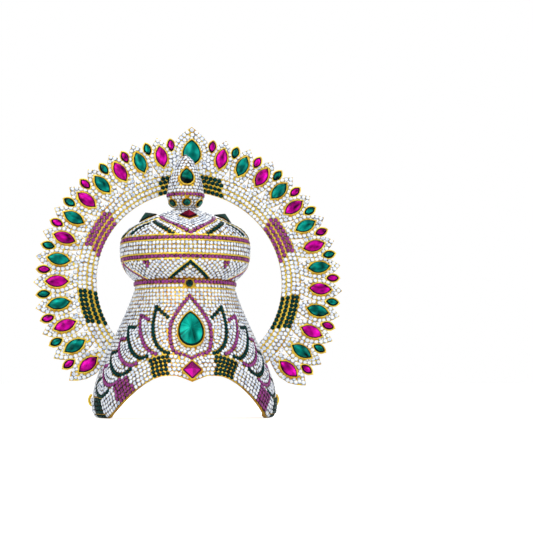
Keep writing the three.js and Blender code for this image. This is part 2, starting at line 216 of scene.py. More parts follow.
def chaton_pattern():
    """Corners of a stone of unit radius, its triangles, each triangle's facet and each facet's
    share of light."""
    n = CHATON_SIDES
    corners, triangles, facets, kinds = [], [], [], []
    for radius, height, turn in CHATON_RINGS:
        for i in range(n):
            angle = 2 * math.pi * (i + turn / 2) / n
            corners.append((radius * math.cos(angle), radius * math.sin(angle), height))

    def facet(kind, *members):
        triangles.extend(members)
        facets.extend([len(kinds)] * len(members))
        kinds.append(kind)

    for i in range(n):
        j = (i + 1) % n
        facet("girdle", (i, j, n + j), (i, n + j, n + i))
        facet("crown", (n + i, n + j, 2 * n + i))
        facet("crown", (2 * n + i, n + j, 2 * n + j))
        facet("star", (2 * n + i, 3 * n + j, 3 * n + i))
        facet("star", (2 * n + i, 2 * n + j, 3 * n + j))
    facet("table", *[(3 * n, 3 * n + i, 3 * n + i + 1) for i in range(1, n - 1)])
    facet("girdle", *[(0, i + 1, i) for i in range(1, n - 1)])
    corners, triangles, facets = np.array(corners), np.array(triangles), np.array(facets)
    light = []
    for number, kind in enumerate(kinds):
        middle = corners[triangles[facets == number]].mean(axis=(0, 1))
        mean, swing = CHATON_LIGHT[kind]
        light.append(mean + swing * middle[0] / max(math.hypot(middle[0], middle[1]), 0.1))
    return corners, triangles, facets, np.array(light)


CHATON_CORNERS, CHATON_TRIANGLES, CHATON_FACETS, CHATON_SHARE = chaton_pattern()


def make_piece(name, corners, faces, material, smooth_angle=None):
    """A mesh piece from corners in millimetres, riding on the crown."""
    mesh = bpy.data.meshes.new(name)
    mesh.from_pydata((np.asarray(corners) * MM).tolist(), [], [tuple(face) for face in faces])
    mesh.materials.append(material)
    if smooth_angle is not None:
        mesh.shade_smooth()
        mesh.set_sharp_from_angle(angle=math.radians(smooth_angle))
    piece = bpy.data.objects.new(name, mesh)
    bpy.context.scene.collection.objects.link(piece)
    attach(piece, "root")
    return piece


def mark(piece, name, kind, domain, values):
    """An attribute of a piece's mesh, for its material to read."""
    layer = piece.data.attributes.new(name, kind, domain)
    field = "vector" if kind == "FLOAT_VECTOR" else "value"
    layer.data.foreach_set(field, np.ravel(values).astype(np.float32))


def unit(vectors):
    return vectors / np.linalg.norm(vectors, axis=1, keepdims=True)


def make_chatons(name, points, normals, diameter, material, fire=0.0):
    """One joined piece of round stones, each turned by chance and a hair out of level, its facets
    unequal in light."""
    count = len(points)
    normals = unit(normals + dice.normal(0, CHATON_TILT, normals.shape))
    side = unit(np.cross(normals, dice.normal(0, 1, normals.shape)))
    axes = np.stack([side, np.cross(normals, side), normals], axis=1)
    radius = np.reshape(diameter, (-1, 1, 1)) / 2
    corners = points[:, None, :] + radius * np.einsum("vk,skc->svc", CHATON_CORNERS, axes)
    first = np.arange(count)[:, None, None] * len(CHATON_CORNERS)
    faces = (CHATON_TRIANGLES[None] + first).reshape(-1, 3).tolist()
    piece = make_piece(name, corners.reshape(-1, 3), faces, material)
    unlike = dice.normal(0, CHATON_SPREAD, (count, len(CHATON_SHARE)))
    unlike = unlike + dice.normal(0, CHATON_GRADE, (count, 1))
    light = np.clip(CHATON_SHARE + unlike + fire, 0, 1)
    mark(piece, "facet", "FLOAT", "FACE", light[:, CHATON_FACETS])
    return piece


FOIL_STOPS, FOIL_COAT_ROUGHNESS = (0.0, 0.45, 1.0), 0.03


def make_foiled(name, tones, roughness, coat, gloss=0.1):
    """Glass over foil: each facet sends back its own share of light, from dark to bright."""
    material, tree, shader = new_material(name)
    facet = add_node(tree, "Attribute", attribute_name="facet").outputs["Fac"]
    feed(tree, shader, {"Base Color": colour_ramp(tree, facet, FOIL_STOPS, tones)})
    feed(tree, shader, {"Roughness": roughness, "Specular IOR Level": gloss})
    feed(tree, shader, {"Coat Weight": coat, "Coat Roughness": FOIL_COAT_ROUGHNESS})
    return material


CLEAR_TONES = (0.075, 0.050, 0.035), (0.43, 0.53, 0.74), (0.98, 1.0, 1.0)
PURPLE_TONES = (0.010, 0.001, 0.006), (0.098, 0.008, 0.066), (0.33, 0.05, 0.26)
DARK_GREEN_TONES = (0.0, 0.001, 0.001), (0.0002, 0.009, 0.0085), (0.001, 0.042, 0.038)
FOILED = {
    "clear": make_foiled("foiled_clear", CLEAR_TONES, 0.10, 1.0),
    "purple": make_foiled("foiled_purple", PURPLE_TONES, 0.15, 0.3),
    "green": make_foiled("foiled_green", DARK_GREEN_TONES, 0.15, 0.06, 0.04),
}
FILL_GRADES = (1.0, 0.8, 0.64)
MOST_STONES = 9000
ROOM, LINE_ROOM, FILL_ROOM = 0.88, 0.86, 0.84  # least distance of two stones in mean diameters


def skin_tree(node):
    mesh = nodes[node].data
    corners = [vertex.co / MM for vertex in mesh.vertices]
    return BVHTree.FromPolygons(corners, [polygon.vertices[:] for polygon in mesh.polygons])


class StoneBed:
    """Round stones on one metal skin, each clear of its neighbours and of the nodes named, by the
    distance given for a stone of full size."""

    def __init__(self, diameter, reach):
        self.diameter = diameter
        self.keep_clear = [(skin_tree(node), distance) for node, distance in reach.items()]
        self.points, self.normals = np.empty((MOST_STONES, 3)), np.empty((MOST_STONES, 3))
        self.sizes, self.colours = np.empty(MOST_STONES), []

    def lay(self, points, normals, colours, room=ROOM, size=1.0):
        if isinstance(colours, str):
            colours = [colours] * len(points)
        diameter = size * self.diameter
        guards = [(tree, far - (self.diameter - diameter) / 2) for tree, far in self.keep_clear]
        for point, normal, colour in zip(points, normals, colours):
            count = len(self.colours)
            apart = np.linalg.norm(self.points[:count] - point, axis=1)
            if np.any(apart < room * (self.sizes[:count] + diameter) / 2):
                continue
            if any(tree.find_nearest(point, far)[0] is not None for tree, far in guards):
                continue
            self.points[count], self.normals[count], self.sizes[count] = point, normal, diameter
            self.colours.append(colour)

    def fill(self, points, normals, colour, room=FILL_ROOM):
        """Stones in whatever gaps are left, tried over a fine net of places: whole ones first,
        then smaller grades."""
        for size in FILL_GRADES:
            tree = KDTree(len(self.colours))
            for index, point in enumerate(self.points[: len(self.colours)]):
                tree.insert(point, index)
            tree.balance()
            own = size * self.diameter
            near = [tree.find(point) for point in points]
            free = [apart >= room * (self.sizes[index] + own) / 2 for _, index, apart in near]
            self.lay(points[free], normals[free], colour, room, size)

    def make(self, name):
        colours = np.array(self.colours)
        for colour, material in FOILED.items():
            chosen = np.flatnonzero(colours == colour)
            if len(chosen):
                place, facing = self.points[chosen], self.normals[chosen]
                make_chatons(f"{name}_{colour}", place, facing, self.sizes[chosen], material)


def smooth_line(points, steps=10):
    """Line through given points, rounded between them."""
    points = np.asarray(points, float)
    padded = [2 * points[0] - points[1], *points, 2 * points[-1] - points[-2]]
    line = []
    for before, start, end, after in zip(padded, padded[1:], padded[2:], padded[3:]):
        for t in np.linspace(0, 1, steps, endpoint=False):
            bend = 2 * start + t * (end - before)
            bend = bend + t * t * (2 * before - 5 * start + 4 * end - after)
            line.append((bend + t**3 * (3 * start - before - 3 * end + after)) / 2)
    return np.array([*line, points[-1]])


def run_along(points):
    """Length from the first of a line's points to each of them."""
    return np.concatenate([[0], np.cumsum(np.linalg.norm(np.diff(points, axis=0), axis=1))])


def spaced(line, skin, pitch, closed=False):
    """Equal steps along a line drawn on a skin."""
    run = run_along(skin(*line.T)[0])
    count = max(1, round(run[-1] / pitch))
    at = np.linspace(0, run[-1], count + 1)[: count if closed else count + 1]
    return np.stack([np.interp(at, run, line[:, k]) for k in range(2)], axis=1)


def lay_line(bed, line, skin, pitch, colour, closed=False, room=ROOM, size=1.0):
    bed.lay(*skin(*spaced(line, skin, pitch, closed).T), colour, room, size)


ring = np.linspace(-180, 180, 241)


def level_line(height):
    return np.column_stack([ring, np.full_like(ring, height)])


def inset_line(line, distance):
    """A line on the bell moved sideways over the surface, to the left of its direction."""
    radius = np.radians(1) * bell_radius(line[:, 1])
    along = unit(np.gradient(np.column_stack([line[:, 0] * radius, line[:, 1]]), axis=0))
    return line + distance * np.column_stack([-along[:, 1] / radius, along[:, 0]])


def net(across, up):
    """Every crossing of a fine net of places, as two lists."""
    return (axis.ravel() for axis in np.meshgrid(across, up))


BELL_STONE, BELL_PITCH, BELL_ROW, BELL_LINE = 2.76, 2.77, 2.68, 1.09
BELL_REACH = {"brow_pear": 1.8, "brow_square": 1.7, "neck_round": 1.6}
BELL_REACH |= {"tie_loop_left": 1.3, "tie_loop_right": 1.3}
bell_bed = StoneBed(BELL_STONE, BELL_REACH)

# shield round the pear: half its outline, from the tip to the lowest point, as arc length from
# the middle and height
SHIELD = [(0, 83.6), (6.6, 75.5), (12.2, 66.5), (13.9, 59), (13.2, 51), (11.3, 46.0), (5.2, 43.5)]
SHIELD_FOOT, SHIELD_ROWS = (0, 41.4), 3
shield_half = smooth_line([*SHIELD, SHIELD_FOOT])
shield_half[:, 0] /= np.radians(1) * bell_radius(shield_half[:, 1])
shield = np.concatenate([shield_half, shield_half[-2::-1] * (-1, 1)])

# lotus petals from the shield outwards: colour, then azimuth and height of the top edge's start,
# of the tip, of three points down the flank, of the heel and of the toe
LOTUS = [
    ("green", (20.4, 69.1), (33.6, 76.3), (33.4, 66), (30.7, 57.8), (26, 50.5), (19.1, 45.6), (16.5, 45)),
    ("purple", (32, 65.9), (49, 70.5), (46, 62.5), (40.5, 55), (34.6, 49), (27, 44.6), (22.7, 45.2)),
    ("green", (45.2, 61.9), (61, 63), (57, 57), (51, 50.5), (44.5, 45), (36.7, 41.6), (29.7, 43.8)),
    ("purple", (56.5, 55), (66, 54.8), (63.5, 49.5), (58, 43.5), (50, 38.4), (42.2, 37), (34.8, 41)),
    ("green", (61.5, 46.2), (71.6, 45.5), (68.6, 40.5), (62, 34.8), (54.5, 31), (47.7, 31), (41, 36.3)),
    ("purple", (67, 37.2), (75.8, 36.6), (73.6, 32), (68, 27), (61, 23.9), (54, 24.6), (46.6, 31.2)),
    ("green", (71.5, 28.4), (79.5, 27), (78.5, 22), (74.6, 18.2), (69, 16), (63.7, 16.8), (53.2, 24.4)),
]
LOTUS_ROWS, LOTUS_TOP_STEPS, LOTUS_TOP_ROOM = 4, 12, 0.76
LOTUS_TOP_GAP, LOTUS_FOOT_GAP = 1.0, 1.2

lay_line(bell_bed, shield, on_bell, BELL_PITCH, "purple", closed=True, size=BELL_LINE)
for side in (-1, 1):
    for colour, start, *flank in LOTUS:
        top = np.linspace(flank[0], start, LOTUS_TOP_STEPS)
        for line, room in ((smooth_line(flank), LINE_ROOM), (top, LOTUS_TOP_ROOM)):
            line = line * (side, 1)
            lay_line(bell_bed, line, on_bell, BELL_PITCH, colour, room=room, size=BELL_LINE)

# collar under the bulb, and the row between it and the gold line
COLLAR_Z, COLLAR_LIFT, BELL_TOP_Z, GOLD_LINE_Z = 93.6, 1.0, 91.0, 89.3


def on_collar(azimuth, z):
    return on_cap(azimuth, z, np.full_like(z, NECK_R + COLLAR_LIFT), np.zeros_like(z))


lay_line(bell_bed, level_line(COLLAR_Z), on_collar, BELL_PITCH, "purple", True, size=BELL_LINE)
lay_line(bell_bed, level_line(BELL_TOP_Z), on_bell, BELL_PITCH, "clear", True)

# rows inside the shield, then inside each petal along its flank
for row in range(1, SHIELD_ROWS + 1):
    lay_line(bell_bed, inset_line(shield, -row * BELL_ROW), on_bell, BELL_PITCH, "clear")
for colour, start, *flank in LOTUS:
    lean = (flank[0][1] - start[1]) / (flank[0][0] - start[0])
    for side in (-1, 1):
        edge = smooth_line(flank) * (side, 1)
        for row in range(1, LOTUS_ROWS + 1):
            at = spaced(inset_line(edge, -side * row * BELL_ROW), on_bell, BELL_PITCH)
            top = start[1] + lean * (np.abs(at[:, 0]) - start[0]) - LOTUS_TOP_GAP
            foot = border_height(at[:, 0]) + LOTUS_FOOT_GAP
            at = at[(at[:, 1] < top) & (at[:, 1] > foot)]
            bell_bed.lay(*on_bell(*at.T), "clear")

# border: five rows along the rim, with blocks of colour between these azimuths of the rim below,
# not quite alike at left and right
BORDER_FIRST, BORDER_PITCH, BORDER_ROWS, BORDER_SIZE = 1.55, 2.72, 5, 1.06
BORDER_STEP, BORDER_ROOM, BORDER_MARGIN, BORDER_NET = 1.04 * BELL_PITCH, 0.87, 0.4, 0.5
BORDER_BLOCKS = [("green", -77.5, -62.5), ("purple", -46.5, -36), ("green", -24.2, -15)]
BORDER_BLOCKS += [("green", 15, 26.5), ("purple", 42.8, 53), ("green", 65.5, 84)]
rim_azimuth = np.linspace(-180, 180, 721)
rim = np.column_stack([rim_azimuth, rim_height(rim_azimuth)])


def border_colours(foot):
    colours = np.full(len(foot), "clear", dtype=object)
    for colour, start, end in BORDER_BLOCKS:
        colours[(start <= foot) & (foot <= end)] = colour
    return colours


for row in range(BORDER_ROWS):
    line = inset_line(rim, BORDER_FIRST + row * BORDER_PITCH)
    run = run_along(on_border(*line.T)[0])
    at = np.arange(0, run[-1], BORDER_STEP) + BORDER_STEP / 2 * (row % 2)
    places = on_border(np.interp(at, run, line[:, 0]), np.interp(at, run, line[:, 1]))
    colours = border_colours(np.interp(at, run, rim_azimuth))
    bell_bed.lay(*places, colours, BORDER_ROOM, BORDER_SIZE)
insets = np.arange(BORDER_FIRST, BORDER_WIDTH - BORDER_MARGIN, BORDER_NET)
border_net = np.concatenate([inset_line(rim, inset) for inset in insets])
net_colours = np.tile(border_colours(rim_azimuth), len(insets))
for colour in FOILED:
    bell_bed.fill(*on_border(*border_net[net_colours == colour].T), colour)
NAPE_AZIMUTH, NAPE_TOP_GAP, NAPE_RIM_GAP = 100, 1.3, 1.5
net_azimuth, net_z = net(np.arange(-180, 180, 0.75), np.arange(12, 88, 0.6))
nape = (np.abs(net_azimuth) > NAPE_AZIMUTH) & (net_z > rim_height(net_azimuth) + NAPE_RIM_GAP)
nape &= net_z < border_height(net_azimuth) - NAPE_TOP_GAP
bell_bed.fill(*on_border(net_azimuth[nape], net_z[nape]), "clear")

# level rows over the rest of the bell, down to the border
FIRST_ROW_DROP, LAST_ROW_Z, ROW_STEP, ROW_GAP, NET_GAP = 1.75, 14, 0.97 * BELL_ROW, 1.7, 1.8
for z in np.arange(GOLD_LINE_Z - FIRST_ROW_DROP, LAST_ROW_Z, -ROW_STEP):
    at = spaced(level_line(z), on_bell, BELL_PITCH, True)
    at = at[at[:, 1] > border_height(at[:, 0]) + ROW_GAP]
    bell_bed.lay(*on_bell(*at.T), "clear")
free = net_z > border_height(net_azimuth) + NET_GAP
bell_bed.fill(*on_bell(net_azimuth[free], net_z[free]), "clear")
bell_bed.make("bell_stones")


# Gold wires of the bell: drawn wire laid in the seams between the fields of stones, under the
# neck and over the border, soldered to the sheet.
BELL_WIRE_R, BORDER_WIRE_RISE, WIRE_SIDES, WIRE_SMOOTH_ANGLE = 0.45, 0.35, 6, 50


def make_wires(name, lines, radius, material):
    """One joined piece of wires, each along points on a skin with the skin's normals."""
    corners, faces = [], []
    for points, normals, closed in lines:
        along = np.gradient(points, axis=0)
        if closed:
            along = np.roll(points, -1, axis=0) - np.roll(points, 1, axis=0)
        across = np.cross(unit(along), normals)
        count, first = len(points), sum(len(part) for part in corners)
        for angle in 2 * np.pi * np.arange(WIRE_SIDES) / WIRE_SIDES:
            corners.append(points + radius * (np.cos(angle) * normals + np.sin(angle) * across))
        starts = [first + side * count for side in range(WIRE_SIDES)]
        for low, high in zip(starts, starts[1:] + starts[:1]):
            for i in range(count if closed else count - 1):
                j = (i + 1) % count
                faces.append([low + i, low + j, high + j, high + i])
        if not closed:
            faces += [starts, [start + count - 1 for start in reversed(starts)]]
    make_piece(name, np.concatenate(corners), faces, material, WIRE_SMOOTH_ANGLE)


# painted light: the raised wire is given a higher tone than the sheet
gilt_wire = make_gilt("gilt_wire", 200.0, 0.14, 2000.0, 0.00004)
wire_azimuth = np.linspace(-180, 180, 180, endpoint=False)
border_line_z = border_height(wire_azimuth) + BORDER_WIRE_RISE
border_line = on_bell(wire_azimuth, border_line_z, BORDER_WIRE_RISE)
neck_line = on_bell(wire_azimuth, np.full_like(wire_azimuth, GOLD_LINE_Z))
make_wires("bell_wires", [(*border_line, True), (*neck_line, True)], BELL_WIRE_R, gilt_wire)


# Bulb of the cap: a squat shell of gilt brass raised from one sheet and seated on the bell's
# neck, with four cups for square stones on its shoulder. Bands of purple and zigzags of purple
# and green divide its fields of clear stones.
nodes["cap_bulb"].material_slots[0].material = gilt_sheet
PROFILE_STEPS, PROFILE_WINDOW, RAY_START = 120, 9, 100


def outward(azimuth):
    a = math.radians(azimuth)
    return np.array([math.sin(a), -math.cos(a), 0.0])


def skin_profile(node, azimuth, low, high):
    """Height, radius and pitch of a turned shell's outside along one azimuth, by length up its
    meridian."""
    tree, out = skin_tree(node), outward(azimuth)
    z = np.linspace(low, high, PROFILE_STEPS)
    starts = [CAP_AXIS + RAY_START * out + UP * height for height in z]
    hits = [tree.ray_cast(list(start), list(-out))[0] for start in starts]
    r = np.array([math.hypot(hit[0] - CAP_AXIS[0], hit[1] - CAP_AXIS[1]) for hit in hits])
    run = run_along(np.column_stack([z, r]))
    even = np.linspace(0, run[-1], PROFILE_STEPS)
    z, r = np.interp(even, run, z), np.interp(even, run, r)
    window = np.ones(PROFILE_WINDOW) / PROFILE_WINDOW
    padded = (np.pad(np.gradient(v), PROFILE_WINDOW // 2, "edge") for v in (r, z))
    slope_r, slope_z = (np.convolve(v, window, "valid") for v in padded)
    return {"s": even, "z": z, "r": r, "pitch": np.arctan2(-slope_r, slope_z)}


def on_shell(profile):
    def skin(azimuth, s):
        z, r, pitch = (np.interp(s, profile["s"], profile[key]) for key in ("z", "r", "pitch"))
        return on_cap(azimuth, z, r, pitch)

    return skin


bulb_profile = skin_profile("cap_bulb", 45, 95.6, 144.2)
on_bulb = on_shell(bulb_profile)


def bulb_s(z):
    return float(np.interp(z, bulb_profile["z"], bulb_profile["s"]))


BULB_STONE, BULB_PITCH, BULB_REACH = 2.76, 2.8, 1.85
BULB_SIDES = ("front", "right", "back", "left")
BULB_BANDS = [("purple", BELL_LINE, (122.7, 110.2)), ("clear", 1.0, (119.3, 116.45, 113.6))]
bulb_bed = StoneBed(BULB_STONE, {f"bulb_square_{side}": BULB_REACH for side in BULB_SIDES})
for colour, size, heights in BULB_BANDS:
    for z in heights:
        lay_line(bulb_bed, level_line(bulb_s(z)), on_bulb, BULB_PITCH, colour, True, size=size)

# shoulder: zigzag of four V's, each round a square stone and of its colour, with a green zigzag
# below; the side ones are flat at the bottom
VEE_LOW_Z, VEE_HIGH_Z, VEE_CORNER, VEE_STEPS = 125.9, 138.5, 44, 91
VEE_PITCH, VEE_ROOM, SHOULDER_R, SHOULDER_TOP = 0.95, 0.82, 36, 12
SHOULDER_LOW, SHOULDER_HIGH = bulb_s(125.0), bulb_profile["s"][-1] - 1.0
QUARTERS = [(0, "purple", 0), (90, "green", 12), (180, "purple", 0), (270, "green", 12)]
CLEAR_VEES = (-1.42, 0.95, 1.9, 2.85, 3.8, 4.75, 5.7, -3.4, -4.4, -5.4, -6.4)
VEE_ROWS = [  # rows up, colour other than the quarter's own, size at front and back, at the sides
    (0, None, 1.15, 1.38),
    (-2.4, "green", 1.1, 1.3),
    *[(rows, "clear", 1.0, 1.0) for rows in CLEAR_VEES],
]
vee_level = bulb_s(VEE_LOW_Z)
vee_rise = bulb_s(VEE_HIGH_Z) - vee_level


def vee_line(middle, level, half, slope, flat=0):
    b = np.linspace(-half, half, VEE_STEPS)
    return np.column_stack([middle + b, level + slope * np.maximum(np.abs(b) - flat, 0)])


def arms(line, low=-math.inf, high=math.inf):
    """Both arms of a V from its middle outwards, as far as they lie between two levels."""
    middle = len(line) // 2
    for arm in (line[middle:], line[middle::-1]):
        inside = arm[(arm[:, 1] > low) & (arm[:, 1] < high)]
        if len(inside) > 1:
            yield inside


def shoulder_line(quarter, rows):
    """One V moved up over the shoulder by so many rows."""
    middle, _, flat = quarter
    half = VEE_CORNER if flat == 0 else 90 - VEE_CORNER
    slope = vee_rise / (half - flat)
    step = BULB_PITCH * math.hypot(1, slope / (np.radians(1) * SHOULDER_R))
    return vee_line(middle, vee_level + rows * step, half, slope, flat)


for rows, other, front_size, side_size in VEE_ROWS:
    for quarter in QUARTERS:
        size = side_size if quarter[2] else front_size
        pitch, colour = VEE_PITCH * size * BULB_PITCH, other or quarter[1]
        for arm in arms(shoulder_line(quarter, rows), SHOULDER_LOW, SHOULDER_HIGH):
            lay_line(bulb_bed, arm, on_bulb, pitch, colour, room=VEE_ROOM, size=size)
for s in np.arange(SHOULDER_HIGH, SHOULDER_HIGH - SHOULDER_TOP, -BULB_PITCH):
    lay_line(bulb_bed, level_line(s), on_bulb, BULB_PITCH, "clear", True)

# underside: green chevrons at front and back, wide purple ones at the sides, small purple buds
# between, and clear rows that follow the chevrons
CHEVRONS = [  # colour, azimuths, heights of top and foot, half width, clear rows beside it
    ("green", (0, 180), 106.4, 96.7, 20, range(-5, 14)),
    ("purple", (90,), 108.0, 95.7, 37, range(-6, 0)),
    ("purple", (280,), 108.0, 95.7, 27, range(-6, 0)),
]
CHEVRON_STEP, CHEVRON_REACH = 3.55, 60
BUD_AZIMUTHS, BUD_Z, BUD_STONES, BUD_ROOM = (-42, 35.5), 105.6, [(-1.9, 1), (1.9, 1), (0, -1.4)], 0.85
UNDER_LOW, UNDER_HIGH, BULB_FOOT = bulb_s(96.6), bulb_s(108.4), 1.5


def chevron_lines(chevron, rise, half):
    """A chevron's V round each of its azimuths, moved up over the skin."""
    _, middles, top, foot, own_half, _ = chevron
    slope = (bulb_s(foot) - bulb_s(top)) / own_half
    return [vee_line(middle, bulb_s(top) + rise, half, slope) for middle in middles]


for chevron in CHEVRONS:
    for line in chevron_lines(chevron, 0, chevron[4]):
        for arm in arms(line):
            lay_line(
                bulb_bed, arm, on_bulb, BULB_PITCH, chevron[0], room=LINE_ROOM, size=BELL_LINE
            )
for middle in (0, 180):
    for azimuth in BUD_AZIMUTHS:
        bud = [(middle + (azimuth + turn), bulb_s(BUD_Z + rise)) for turn, rise in BUD_STONES]
        bulb_bed.lay(*on_bulb(*np.transpose(bud)), "purple", BUD_ROOM)
for chevron in CHEVRONS:
    for row in chevron[5]:
        for line in chevron_lines(chevron, row * CHEVRON_STEP, CHEVRON_REACH):
            for arm in arms(line, UNDER_LOW, UNDER_HIGH):
                lay_line(bulb_bed, arm, on_bulb, BULB_PITCH, "clear")
net_azimuth, net_s = net(np.arange(-180, 180, 0.9), np.arange(BULB_FOOT, SHOULDER_HIGH, 0.6))
for low, high in ((UNDER_LOW, UNDER_HIGH), (SHOULDER_LOW, SHOULDER_HIGH)):
    inside = (net_s > low) & (net_s < high)
    bulb_bed.fill(*on_bulb(net_azimuth[inside], net_s[inside]), "clear")
bulb_bed.make("bulb_stones")

# gold wire beside the purple bands, under the V's and outside the chevrons
BAND_WIRES_Z = (124.55, 120.95, 112.0, 108.45)
BULB_WIRE_R, BULB_WIRE_LIFT, VEE_WIRE_ROWS, VEE_WIRE_DROP = 0.55, 0.3, -0.7, 0.6
CHEVRON_WIRE_RISE, CHEVRON_WIRE_SPAN, CHEVRON_WIRE_FOOT = 1.9, 2, 0.4
wire_lines = []
for z in BAND_WIRES_Z:
    level = np.full_like(wire_azimuth, bulb_s(z))
    wire_lines.append((np.column_stack([wire_azimuth, level]), True))
for quarter in QUARTERS:
    for arm in arms(shoulder_line(quarter, VEE_WIRE_ROWS), SHOULDER_LOW - VEE_WIRE_DROP):
        wire_lines.append((arm, False))
for chevron in CHEVRONS:
    for line in chevron_lines(chevron, CHEVRON_WIRE_RISE, chevron[4] + CHEVRON_WIRE_SPAN):
        for arm in arms(line, bulb_profile["s"][0] + CHEVRON_WIRE_FOOT):
            wire_lines.append((arm, False))
bulb_wires = []
for line, closed in wire_lines:
    points, normals = on_bulb(*line.T)
    bulb_wires.append((points + BULB_WIRE_LIFT * normals, normals, closed))
make_wires("bulb_wires", bulb_wires, BULB_WIRE_R, gilt_wire)


# Finial: a hollow bud of gilt brass on a flared foot, fixed on top of the bulb, covered with clear
# stones in level rows, with a purple ring round its widest part.
nodes["finial"].material_slots[0].material = gilt_sheet
finial_profile = skin_profile("finial", 90, 145.2, 182.6)
on_finial = on_shell(finial_profile)
FINIAL_STONE, FINIAL_PITCH, FINIAL_ROW = 2.55, 2.48, 2.42
FINIAL_RING_Z, FINIAL_TIP_Z, FINIAL_FOOT = 155.85, 184.2, 0.6
FINIAL_ABOVE, FINIAL_BELOW, FINIAL_NET_FOOT, FINIAL_NET_GAP = 2.5, 2.6, 0.8, 2.4
FINIAL_ROUNDS = [f"finial_round_{i}" for i in range(1, 7)]
FINIAL_REACH = {"finial_pear": 1.9, **{node: 1.4 for node in FINIAL_ROUNDS}}
finial_bed = StoneBed(FINIAL_STONE, FINIAL_REACH)
ring_s = float(np.interp(FINIAL_RING_Z, finial_profile["z"], finial_profile["s"]))
rows_above = np.arange(ring_s + FINIAL_ABOVE, finial_profile["s"][-1], FINIAL_ROW)
rows_below = np.arange(ring_s - FINIAL_BELOW, FINIAL_FOOT, -FINIAL_ROW)
finial_bed.lay([CAP_AXIS + FINIAL_TIP_Z * UP], [UP], "clear")
for s in (ring_s, *rows_above, *rows_below):
    colour = "purple" if s == ring_s else "clear"
    lay_line(finial_bed, level_line(s), on_finial, FINIAL_PITCH, colour, True)
net_heights = np.arange(FINIAL_NET_FOOT, ring_s - FINIAL_NET_GAP, 0.4)
finial_bed.fill(*on_finial(*net(np.arange(-180, 180, 3), net_heights)), "clear", ROOM)
finial_bed.make("finial_stones")


# Halo: a pierced plate of gilt brass, a band with flame petals soldered round it, leaning back
# behind the cap. Clear stones follow each petal's edge; the band has four rows with blocks of
# purple and dark green.
HALO_CENTRE = CAP_AXIS + (3.7, 3.802, 96.4)
HALO_LEAN, HALO_ROLL = math.radians(9), math.radians(1.2)
HALO_ACROSS = np.array([1.0, 0, 0])
HALO_OUT = np.array([0, -math.cos(HALO_LEAN), math.sin(HALO_LEAN)])
HALO_RISE = np.array([0, math.sin(HALO_LEAN), math.cos(HALO_LEAN)])
# painted light: the halo plate is given a slightly higher tone than the sheet
gilt_plate = make_gilt("gilt_plate", 130.0, 0.06, 700.0, 0.00010)
nodes["halo_plate"].material_slots[0].material = gilt_plate


def on_halo(angle, radius):
    """Points on the halo's face; angle clockwise from its top."""
    a = np.radians(np.asarray(angle, float)) + HALO_ROLL
    across, rise = np.asarray(radius) * np.sin(a), np.asarray(radius) * np.cos(a)
    points = HALO_CENTRE + across[..., None] * HALO_ACROSS + rise[..., None] * HALO_RISE
    return points, np.broadcast_to(HALO_OUT, points.shape)


def on_petal(middle):
    """The same face by distance across a petal and distance out along its middle."""

    def skin(across, out):
        return on_halo(middle + np.degrees(np.arctan2(across, out)), np.hypot(across, out))

    return skin


PETALS, PETAL_FIRST, PETAL_STEP = 13, 13.45, 9.825
PETAL_ANGLES = [s * (PETAL_FIRST + PETAL_STEP * k) for s in (-1, 1) for k in range(PETALS)]
PETAL_ROOT_R, PETAL_ROOT_W, PETAL_BELLY_R, PETAL_BELLY_W = 76, 2.2, 91.5, 8.05
PETAL_TIP_R, PETAL_TIP_GROWTH = 107, 0.16
HALO_STONE, HALO_REACH, PETAL_PITCH, BAND_PITCH, BAND_ROOM = 3.24, 2.0, 3.1, 3.12, 0.8
BAND_ROWS_R, BAND_HALF_SPAN = (66.4, 69.95, 73.5, 76.4), 136.5
BAND_BLOCKS = [  # colour, middle, stones, slant from row to row
    ("green", 0, 14.8, 0.0),
    ("purple", 62.5, 9, 1.0),
    ("green", 107, 8, 0.5),
]


def beside(middle):
    """The angle half-way from a petal to the one before it."""
    return middle - math.copysign(PETAL_STEP / 2, middle)


def bezier(points, steps):
    t, n = np.linspace(0, 1, steps)[:, None], len(points) - 1
    weights = [math.comb(n, k) * (1 - t) ** (n - k) * t**k for k in range(n + 1)]
    return sum(weight * np.array(point) for weight, point in zip(weights, points))


TIP_WIDTH, TIP_FALL, SHOULDER_RISE = 0.45, 0.22, 0.49  # bends of an edge, as shares of its petal
WAIST_WIDTH, WAIST_RISE = 0.9, 0.52


def petal_edge(root, root_w, belly, belly_w, tip, steps=24):
    """Right-hand edge of a petal from its tip over its belly to its root, as distance from its
    middle and distance out."""
    rise, fall = tip - belly, belly - root
    point, widest, foot = (0, tip), (belly_w, belly), (root_w, root)
    shoulder = (TIP_WIDTH * belly_w, tip - TIP_FALL * rise), (belly_w, belly + SHOULDER_RISE * rise)
    waist = (WAIST_WIDTH * belly_w, root + WAIST_RISE * fall)
    upper, lower = bezier([point, *shoulder, widest], steps), bezier([widest, waist, foot], steps)
    return np.concatenate([upper, lower[1:]])


def inner_row(edge, distance):
    """The edge moved inwards, kept on its own side of the middle."""
    along = unit(np.gradient(edge, axis=0))
    row = edge + distance * np.column_stack([along[:, 1], -along[:, 0]])
    return row[row[:, 0] > 0]


halo_navettes = [name for name in nodes if name.startswith("halo_navette")]
halo_bed = StoneBed(HALO_STONE, {name: HALO_REACH for name in [*halo_navettes, "halo_pear"]})
for row, radius in enumerate(BAND_ROWS_R):
    step = math.degrees(BAND_PITCH / radius)
    count = int(BAND_HALF_SPAN / step)
    angles = (np.arange(-count, count) + 0.5 * (row % 2)) * step
    colours = np.full(len(angles), "clear", dtype=object)
    for colour, middle, stones, slant in BAND_BLOCKS:
        colours[np.abs(np.abs(angles) - middle - slant * (1.5 - row)) < stones / 2 * step] = colour
    halo_bed.lay(*on_halo(angles, np.full_like(angles, radius)), colours, BAND_ROOM)

